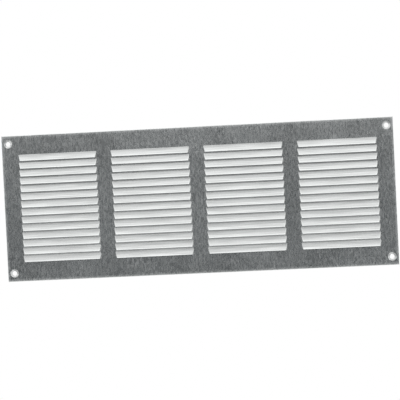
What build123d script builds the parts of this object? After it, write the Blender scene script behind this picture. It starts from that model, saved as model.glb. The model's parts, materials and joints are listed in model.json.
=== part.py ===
import os
from math import atan2, degrees, radians, sin

from build123d import *

# Ventilation grille pressed from one galvanised steel sheet, in millimetres.
# The sheet stands in the XZ plane with +Z up. Its back lies against the wall at Y = 0, and its
# louvres are pressed out towards -Y with their lips down. The origin is the centre of the back.

# Sheet
plate_width = 400.0
plate_height = 150.0
sheet_thickness = 0.8
edge_roll_width = 0.5  # the sheared blank's front edge rolls over
edge_roll_depth = 0.25

# Louvre field: columns of louvres with plain sheet between and around them
column_count = 4
side_margin = 16.9
bridge_width = 14.6
end_margin = 19.0  # least plain sheet above and below the field
row_pitch = 8.0
web_height = 1.7  # flat strip left between one lip and the next root

# Louvre: the sheet is slit along the lip and pressed out in a shallow sweep, and both ends stay closed
lip_rise = 2.4  # from the front of the sheet to the front of the lip
face_hollow = 0.2  # depth of the sweep under a straight line from root to lip
end_wall_angle = 57.0  # to the sheet
crown_radius = 0.5  # between the sloping face and an end wall

# Countersunk screw holes in the corners
hole_diameter = 4.8
countersink_diameter = 8.6
hole_land = 0.2  # straight wall left behind the countersink
hole_side_inset = 6.7
hole_end_inset = 8.5

# The field fills the width between the margins, and the rows are centred in the height.
louvre_width = (plate_width - 2 * side_margin - (column_count - 1) * bridge_width) / column_count
column_pitch = louvre_width + bridge_width
louvre_height = row_pitch - web_height
row_count = 1 + int((plate_height - 2 * end_margin - louvre_height) / row_pitch)

hole_spacing_x = plate_width - 2 * hole_side_inset
hole_spacing_z = plate_height - 2 * hole_end_inset
countersink_flare = (countersink_diameter - hole_diameter) / 2
countersink_angle = 2 * degrees(atan2(countersink_flare, sheet_thickness - hole_land))


# Body under one louvre's front surface, drawn in by an inset, lying in the XY plane with its front
# up and its lip towards -Y. It reaches well behind the sheet.
def louvre_form(inset):
    root = louvre_height / 2
    lip = -louvre_height / 2
    behind = -(lip_rise + sheet_thickness)
    half_width = louvre_width / 2 - inset / sin(radians(end_wall_angle))
    with BuildPart() as form:
        with BuildSketch(Plane.YZ):
            with BuildLine():
                sweep = SagittaArc(
                    (root, sheet_thickness - inset),
                    (lip, sheet_thickness + lip_rise - inset),
                    face_hollow,
                )
                Polyline(sweep @ 1, (lip, behind), (root, behind), sweep @ 0)
            make_face()
        extrude(amount=half_width, both=True)
        # The end walls lean in from the front of the sheet.
        end_walls = form.faces().filter_by(Axis.X)
        draft(end_walls, Plane.XY.offset(sheet_thickness), 90 - end_wall_angle)
    return form.part


# The raised form with rounded ends, level with the back of the sheet
with BuildPart() as louvre:
    add(louvre_form(0))
    sloping_face = louvre.faces().sort_by(Axis.Z)[-1]
    fillet(sloping_face.edges().filter_by(Axis.X, reverse=True), crown_radius)
    split(bisect_by=Plane.XY)

with BuildPart(Plane.XZ) as grille:
    with BuildSketch(Plane.XZ):
        Rectangle(plate_width, plate_height)
    extrude(amount=sheet_thickness)
    front_face = grille.faces().sort_by(Axis.Y)[0]
    chamfer(front_face.edges(), edge_roll_width, edge_roll_depth, reference=front_face)
    with GridLocations(column_pitch, row_pitch, column_count, row_count):
        add(louvre.part)
        add(louvre_form(sheet_thickness), mode=Mode.SUBTRACT)
    with Locations((0, 0, sheet_thickness)):
        with GridLocations(hole_spacing_x, hole_spacing_z, 2, 2):
            CounterSinkHole(
                hole_diameter / 2,
                countersink_diameter / 2,
                sheet_thickness,
                countersink_angle,
            )

grille.part.label = "louvred_plate"
os.makedirs("parts", exist_ok=True)
export_step(grille.part, "parts/louvred_plate.step")
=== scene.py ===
import json
import math
from types import SimpleNamespace

import bmesh
import bpy
from mathutils import Euler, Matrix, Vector


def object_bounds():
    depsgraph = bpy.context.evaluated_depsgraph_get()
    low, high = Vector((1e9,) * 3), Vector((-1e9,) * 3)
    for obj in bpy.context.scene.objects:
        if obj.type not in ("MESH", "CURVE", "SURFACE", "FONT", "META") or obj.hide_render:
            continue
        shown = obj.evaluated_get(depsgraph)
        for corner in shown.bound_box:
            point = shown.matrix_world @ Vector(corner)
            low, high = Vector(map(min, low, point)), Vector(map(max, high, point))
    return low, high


metre = 1000  # mm
white = (1.0, 1.0, 1.0, 1.0)

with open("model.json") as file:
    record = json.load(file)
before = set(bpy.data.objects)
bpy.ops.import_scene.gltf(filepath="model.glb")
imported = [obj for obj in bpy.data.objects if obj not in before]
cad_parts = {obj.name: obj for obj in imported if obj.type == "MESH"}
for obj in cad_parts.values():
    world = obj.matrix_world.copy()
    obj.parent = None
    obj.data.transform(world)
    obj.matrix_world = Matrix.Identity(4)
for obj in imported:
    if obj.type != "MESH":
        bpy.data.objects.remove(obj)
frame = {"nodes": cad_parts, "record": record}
cadLow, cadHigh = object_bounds()
plate = frame["nodes"]["louvred_plate"]
print("frame loaded, plate", [round(side * metre, 1) for side in cadHigh - cadLow], "mm")


# a shader socket that can be used in sums; each sum adds its Math node
class Wire:
    def __init__(self, tree, socket=None):
        self.tree = tree
        self.socket = socket

    # any other node: its type, its settings, and the values or wires of its sockets
    def node(self, kind, settings=None, inputs=None, output=0):
        made = self.tree.nodes.new(kind)
        for name, value in (settings or {}).items():
            setattr(made, name, value)
        for name, value in (inputs or {}).items():
            if isinstance(value, Wire):
                self.tree.links.new(value.socket, made.inputs[name])
            else:
                made.inputs[name].default_value = value
        if output is None:
            return {socket.name: Wire(self.tree, socket) for socket in made.outputs}
        return Wire(self.tree, made.outputs[output])

    def maths(self, operation, *values):
        return self.node("ShaderNodeMath", {"operation": operation}, dict(enumerate(values)))

    def __add__(self, other):
        return self.maths("ADD", self, other)

    def __radd__(self, other):
        return self.maths("ADD", other, self)

    def __sub__(self, other):
        return self.maths("SUBTRACT", self, other)

    def __rsub__(self, other):
        return self.maths("SUBTRACT", other, self)

    def __mul__(self, other):
        return self.maths("MULTIPLY", self, other)

    def __rmul__(self, other):
        return self.maths("MULTIPLY", other, self)

    # 0 below low and 1 above high, with a soft step between; the other way round if high is less
    def step(self, low, high):
        return self.node(
            "ShaderNodeMapRange",
            {"interpolation_type": "SMOOTHSTEP"},
            {"Value": self, "From Min": low, "From Max": high},
        )


def newMaterial(name):
    material = bpy.data.materials.new(name)
    material.use_nodes = True
    tree = material.node_tree
    tree.nodes.clear()
    return material, Wire(tree)


def finishMaterial(wire, shader):
    ending = wire.tree.nodes.new("ShaderNodeOutputMaterial")
    wire.tree.links.new(shader.socket, ending.inputs["Surface"])


def mixColours(wire, share, first, second):
    return wire.node(
        "ShaderNodeMix",
        {"data_type": "RGBA"},
        {"Factor": share, "A": first, "B": second},
        output="Result",
    )


# louvre field as it was pressed, in mm; a slope is a part of the unit normal
field = {
    "columns": 4,
    "sideMargin": 16.9,
    "bridgeWidth": 14.6,
    "rowPitch": 8.0,
    "webHeight": 1.7,
    "firstWeb": 26.0,  # in from the end of the plate, just short of the outermost web
    "sheetFront": 0.8,
    "endWallAngle": 57.0,  # degrees to the sheet
    "fieldBlur": 1.0,
    "edgeBlur": 0.1,
    "frontSlope": (0.0, -0.5),
    "louvreSlope": (0.08, 0.2),
}


# distances on the sheet in mm, and parts of it as masks from 0 to 1
def sheetParts(wire):
    surface = wire.node("ShaderNodeTexCoord", output=None)
    spot = wire.node("ShaderNodeSeparateXYZ", None, {"Vector": surface["Object"]}, output=None)
    facing = wire.node("ShaderNodeSeparateXYZ", None, {"Vector": surface["Normal"]}, output=None)
    across = wire.maths("ABSOLUTE", spot["X"]) * metre
    up = wire.maths("ABSOLUTE", spot["Z"]) * metre
    inFromSide = cadHigh.x * metre - across
    inFromEnd = cadHigh.z * metre - up

    # bridges lie between the columns, and webs between the rows
    fieldWidth = (cadHigh.x - cadLow.x) * metre - 2 * field["sideMargin"]
    columnPitch = (fieldWidth + field["bridgeWidth"]) / field["columns"]
    fromBridge = wire.maths("PINGPONG", across, columnPitch / 2) - field["bridgeWidth"] / 2
    fromWeb = wire.maths("PINGPONG", up, field["rowPitch"] / 2) - field["webHeight"] / 2
    inField = inFromSide.step(field["sideMargin"], field["sideMargin"] + field["fieldBlur"])
    inField = inField * fromBridge.step(0, field["fieldBlur"])
    inField = inField * inFromEnd.step(field["firstWeb"] - field["fieldBlur"], field["firstWeb"])

    # whatever slopes up or down was drawn by the press, and a louvre is the front of it
    front = facing["Y"].step(*field["frontSlope"])
    upright = wire.maths("ABSOLUTE", facing["Z"])
    drawn = upright.step(*field["louvreSlope"])
    louvre = drawn * front
    web = inField * fromWeb.step(field["edgeBlur"], -field["edgeBlur"]) * (1 - louvre) * front
    return SimpleNamespace(
        place=surface["Object"],
        height=spot["Z"],
        proud=spot["Y"] * -metre,
        across=across,
        up=up,
        inFromSide=inFromSide,
        inFromEnd=inFromEnd,
        fromBridge=fromBridge,
        sideways=wire.maths("ABSOLUTE", facing["X"]),
        upright=upright,
        front=front,
        inField=inField,
        drawn=drawn,
        louvre=louvre,
        web=web,
    )


# dull zinc coat; a blotch is width and height in mm, detail, seed, and its share of the tone
zinc = {
    "dark": (0.365, 0.372, 0.370, 1.0),
    "pale": (0.780, 0.796, 0.791, 1.0),
    "middle": 0.52,
    "flecks": (1.25, 3.2, 1.0, 3.1, 2.5),
    "streaks": (1.6, 7.0, 1.0, 9.4, 1.0),
    "grain": (0.5, 0.5, 1.0, 7.7, 0.35),
    "calm": (16.0, 22.0, 1.0, 4.6, 1.6),
    "clouds": (42.0, 42.0, 2.0, 2.2, 0.85),
    "drawLines": (30.0, 0.8, 1.0, 5.9, 0.9),
    "noiseMiddle": 0.5,
    "spangleSize": 9.0,  # mm
    "spangleShare": 0.13,
    "fleckInColour": 0.25,
    "fleckOnLouvre": 0.10,
    "fleckOnWeb": 0.05,
    "roughness": 0.266,
    "roughnessSpread": 0.073,
    "relief": 0.045,  # mm
    "fleckRelief": 0.4,
    "ringRelief": 0.1,
}


# a soft noise stretched to the width and height of its blotches, 0 in the middle of its range
def blotches(wire, sheet, width, height, detail, seed, share):
    spread = wire.node(
        "ShaderNodeVectorMath",
        {"operation": "MULTIPLY_ADD"},
        {0: sheet.place, 1: (metre / width, metre / width, metre / height), 2: (seed, seed, seed)},
    )
    noise = wire.node("ShaderNodeTexNoise", None, {"Vector": spread, "Scale": 1.0, "Detail": detail})
    return share * (noise - zinc["noiseMiddle"])


# short upright flecks and longer streaks, calmer in places, with fine grain and spangle patches
def zincFlecks(wire, sheet):
    crystals = wire.node(
        "ShaderNodeTexVoronoi",
        {"feature": "F1"},
        {"Vector": sheet.place, "Scale": metre / zinc["spangleSize"]},
        output="Color",
    )
    spangle = wire.node("ShaderNodeSeparateColor", None, {"Color": crystals}, output="Red")
    strokes = blotches(wire, sheet, *zinc["flecks"]) + blotches(wire, sheet, *zinc["streaks"])
    strokes = strokes * (1 + blotches(wire, sheet, *zinc["calm"]))
    patches = zinc["spangleShare"] * (spangle - zinc["noiseMiddle"])
    # few are left on the louvres and the webs
    kept = 1 - sheet.drawn * (1 - zinc["fleckOnLouvre"]) - sheet.web * (1 - zinc["fleckOnWeb"])
    return (strokes + blotches(wire, sheet, *zinc["grain"]) + patches) * kept


# painted highlights, painted light and painted shade on the coat, where it is rougher, and where it is
# cut through to the bare metal: widths in mm, gains in tone
wearAndPaintedLight = {
    "rimWidth": 3.4,
    "endRimHighlight": 0.45,
    "sideRimHighlight": 0.38,
    "rimRoughness": 0.2,
    # painted light on the webs, where the lips above shade them, less of it towards the upper end
    "webPaintedLight": 0.38,
    "webPaintedLightFall": 0.42,  # from the middle of the plate to its upper end
    "webRoughness": 0.25,
    "lipWidth": 0.5,
    "lipHighlight": 0.46,
    "rootWidth": 1.3,
    "rootShade": -0.20,
    "crownWidth": 1.4,
    "crownHighlight": 0.22,
    # screw seats: bare metal, with a painted highlight that fades outwards and painted glints
    "seatRadius": 4.3,
    "seatColour": (0.93, 0.94, 0.935, 1.0),
    "seatShare": 0.9,
    "seatFade": (6.5, 2.4),
    "seatScuffsAndGlints": (3.4, 3.4, 1.0, 84.5, 4.5),
    "seatRings": 0.22,
    "seatRoughness": 0.36,
    "scuffRoughness": 0.4,
    "shearSlope": (0.93, 0.97),
    "shearGain": -0.25,
}


# the countersunk screw seats: bare metal with a painted highlight that fades outwards, uneven blotches
# of painted glints and painted shade that also roughen it, cut in fine rings
def screwSeats(wire, sheet):
    screws = next(mount for mount in frame["record"]["mounts"] if mount["name"] == "wall_screws")["dims"]
    fromHole = wire.node(
        "ShaderNodeCombineXYZ",
        None,
        {"X": sheet.across - screws["spacing_x_mm"] / 2, "Z": sheet.up - screws["spacing_y_mm"] / 2},
    )
    radius = wire.node("ShaderNodeVectorMath", {"operation": "LENGTH"}, {0: fromHole}, output="Value")
    inSeat = radius.step(wearAndPaintedLight["seatRadius"] + field["edgeBlur"], wearAndPaintedLight["seatRadius"] - field["edgeBlur"])
    cone = sheet.front * inSeat
    # blotches of painted glints and painted shade on the seat, which also make it rougher
    scuffsAndGlints = blotches(wire, sheet, *wearAndPaintedLight["seatScuffsAndGlints"]) * cone
    return SimpleNamespace(
        cone=cone,
        # bare metal, painted brighter towards the hole as a painted highlight, with the painted glints
        bareMetalAndHighlights=wearAndPaintedLight["seatShare"] * cone * radius.step(*wearAndPaintedLight["seatFade"]) + scuffsAndGlints,
        rings=wire.maths("SINE", radius * (2 * math.pi / wearAndPaintedLight["seatRings"])) * cone,
        roughness=wearAndPaintedLight["seatRoughness"] * cone + wearAndPaintedLight["scuffRoughness"] * scuffsAndGlints,
    )


# what is added to the tone (painted highlights on the rim, lips and louvre ends, painted light on the
# webs, painted shade at the louvre roots, darker sheared edges) and what is added to the roughness on
# the rim and webs
def paintedLightAndWearPlaces(wire, sheet):
    # painted highlight along the plate's ends and sides; the rim is also rougher
    rim = wearAndPaintedLight["endRimHighlight"] * sheet.inFromEnd.step(wearAndPaintedLight["rimWidth"], 0)
    rim = rim + wearAndPaintedLight["sideRimHighlight"] * sheet.inFromSide.step(wearAndPaintedLight["rimWidth"], 0)
    # painted light on the webs between the rows, lighter towards the bottom of the plate; the webs are
    # also rougher
    web = sheet.web * (wearAndPaintedLight["webPaintedLight"] - sheet.height * (wearAndPaintedLight["webPaintedLightFall"] / cadHigh.z))

    lipFront = -cadLow.y * metre
    # painted highlight along the louvres' lips
    lip = sheet.louvre * sheet.proud.step(lipFront - wearAndPaintedLight["lipWidth"], lipFront)
    # painted shade on the louvres next to their roots
    root = sheet.louvre * sheet.proud.step(field["sheetFront"] + wearAndPaintedLight["rootWidth"], field["sheetFront"])
    # painted highlight on the louvres' ends, next to the end walls
    slant = 1 / math.tan(math.radians(field["endWallAngle"]))
    fromEndWall = sheet.fromBridge - (sheet.proud - field["sheetFront"]) * slant
    crown = sheet.inField * fromEndWall.step(wearAndPaintedLight["crownWidth"], 0)
    crown = crown * wire.maths("MAXIMUM", sheet.louvre, sheet.sideways)
    sheared = wire.maths("MAXIMUM", sheet.sideways, sheet.upright).step(*wearAndPaintedLight["shearSlope"])

    # painted highlights at the lips and ends and painted shade at the roots of the louvres
    paintedOnLouvres = wearAndPaintedLight["lipHighlight"] * lip + wearAndPaintedLight["rootShade"] * root + wearAndPaintedLight["crownHighlight"] * crown
    return SimpleNamespace(
        tone=rim + web + paintedOnLouvres + wearAndPaintedLight["shearGain"] * sheared,
        roughness=wearAndPaintedLight["rimRoughness"] * rim + wearAndPaintedLight["webRoughness"] * web,
    )


def zincCoat():
    material, wire = newMaterial("galvanisedZinc")
    sheet = sheetParts(wire)
    seats = screwSeats(wire, sheet)
    # painted highlights, painted light and painted shade, with the wear on roughness
    paintedLightAndWear = paintedLightAndWearPlaces(wire, sheet)
    flecks = zincFlecks(wire, sheet) * (1 - seats.cone)
    # the press left faint lines along the louvres
    drawLines = blotches(wire, sheet, *zinc["drawLines"]) * sheet.drawn
    clouds = blotches(wire, sheet, *zinc["clouds"]) * (1 - sheet.drawn)

    # a fleck shows mostly by its roughness, so it fades where the sheet mirrors an even light
    tone = zinc["middle"] + zinc["fleckInColour"] * flecks + drawLines + clouds + paintedLightAndWear.tone
    coat = mixColours(wire, tone, zinc["dark"], zinc["pale"])
    roughness = zinc["roughness"] + zinc["roughnessSpread"] * flecks + paintedLightAndWear.roughness + seats.roughness
    relief = wire.node(
        "ShaderNodeBump",
        None,
        {
            "Strength": 1.0,
            "Distance": zinc["relief"] / metre,
            "Height": zinc["fleckRelief"] * (flecks + drawLines) + zinc["ringRelief"] * seats.rings,
        },
    )
    shader = wire.node(
        "ShaderNodeBsdfPrincipled",
        None,
        {
            "Base Color": mixColours(wire, seats.bareMetalAndHighlights, coat, wearAndPaintedLight["seatColour"]),
            "Metallic": 1.0,
            "Roughness": roughness,
            "Normal": relief,
        },
    )
    finishMaterial(wire, shader)
    return material


plate.data.materials.clear()
plate.data.materials.append(zincCoat())
print("zinc coat on", plate.name)


# stage, in metres: a pale floor well under the plate, and a grey card bent round its front and one
# round its back, which the flat sheet mirrors; the sides between the cards stay open
stage = {
    "floorDrop": 0.40,
    "floorRadius": 1.48,
    "floorSides": 128,
    "floorColour": (0.75, 0.75, 0.75, 1.0),
    "floorFade": (0.9, 1.4),
    "bandColour": (0.192, 0.203, 0.210, 1.0),
    "bandRadius": 1.9,
    "bandLow": -0.564,
    "bandHigh": 0.349,
    "bandSides": 96,
    "bandReach": 1.74,
    "roughness": 0.9,
}


def mattShader(wire, colour):
    return wire.node(
        "ShaderNodeBsdfPrincipled",
        None,
        {"Base Color": colour, "Roughness": stage["roughness"]},
    )


# matt floor with the object's shadow, which fades to white towards its rim
def paleFloor():
    material, wire = newMaterial("paleFloor")
    place = wire.node("ShaderNodeTexCoord", output="Object")
    away = wire.node("ShaderNodeVectorMath", {"operation": "LENGTH"}, {0: place}, output="Value")
    ray = wire.node("ShaderNodeLightPath", output=None)
    seen = ray["Is Camera Ray"] + ray["Is Glossy Ray"] + ray["Is Transmission Ray"]
    glow = wire.node("ShaderNodeEmission", None, {"Color": white, "Strength": 1.0})
    shader = wire.node(
        "ShaderNodeMixShader",
        None,
        {0: seen * away.step(*stage["floorFade"]), 1: mattShader(wire, stage["floorColour"]), 2: glow},
    )
    finishMaterial(wire, shader)
    return material


def greyCard():
    material, wire = newMaterial("greyCard")
    finishMaterial(wire, mattShader(wire, stage["bandColour"]))
    return material


def stagePiece(name, outline, material):
    mesh = bpy.data.meshes.new(name)
    outline.to_mesh(mesh)
    outline.free()
    mesh.materials.append(material)
    piece = bpy.data.objects.new(name, mesh)
    bpy.context.scene.collection.objects.link(piece)
    return piece


disc = bmesh.new()
bmesh.ops.create_circle(disc, cap_ends=True, segments=stage["floorSides"], radius=stage["floorRadius"])
floor = stagePiece("floor", disc, paleFloor())
floor.location.z = cadLow.z - stage["floorDrop"]

ring = bmesh.new()
bmesh.ops.create_cone(
    ring,
    cap_ends=False,
    segments=stage["bandSides"],
    radius1=stage["bandRadius"],
    radius2=stage["bandRadius"],
    depth=stage["bandHigh"] - stage["bandLow"],
)
openings = [face for face in ring.faces if abs(face.calc_center_median().x) > stage["bandReach"]]
bmesh.ops.delete(ring, geom=openings, context="FACES")
band = stagePiece("greyBand", ring, greyCard())
band.location.z = (stage["bandLow"] + stage["bandHigh"]) / 2
band.visible_camera = False
print("stage set")


# light: white surroundings and one soft box above the camera that the louvres mirror
light = {
    "surround": 1.0,
    "boxPower": 4.0,
    "boxWidth": 2.91,
    "boxHeight": 0.99,
    "boxPlace": (0.0, -1.139, 1.521),
}


def surroundings():
    world = bpy.data.worlds.new("whiteRoom")
    bpy.context.scene.world = world
    world.use_nodes = True
    tree = world.node_tree
    tree.nodes.clear()
    glow = Wire(tree).node("ShaderNodeBackground", None, {"Color": white, "Strength": light["surround"]})
    ending = tree.nodes.new("ShaderNodeOutputWorld")
    tree.links.new(glow.socket, ending.inputs["Surface"])


def softBox():
    lamp = bpy.data.lights.new("softBox", "AREA")
    lamp.shape = "RECTANGLE"
    lamp.size = light["boxWidth"]
    lamp.size_y = light["boxHeight"]
    lamp.energy = light["boxPower"]
    box = bpy.data.objects.new("softBox", lamp)
    box.location = light["boxPlace"]
    box.rotation_euler = (-Vector(light["boxPlace"])).to_track_quat("-Z", "Y").to_euler()
    box.visible_camera = False
    bpy.context.scene.collection.objects.link(box)


surroundings()
softBox()
print("lights set")


# camera: nearly square to the plate, a little right of and above its middle, rolled a little
shot = {
    "place": (0.0768, -1.300, 0.0235),
    "turn": (88.959, 2.812, 3.273),
    "lens": 114.86,
    "sensor": 36.0,
}
cameraData = bpy.data.cameras.new("camera")
cameraData.sensor_width = shot["sensor"]
cameraData.lens = shot["lens"]
camera = bpy.data.objects.new("camera", cameraData)
camera.location = shot["place"]
camera.rotation_euler = Euler([math.radians(angle) for angle in shot["turn"]])
bpy.context.scene.collection.objects.link(camera)
bpy.context.scene.camera = camera
bpy.context.scene.view_settings.view_transform = "Standard"
print("camera set")
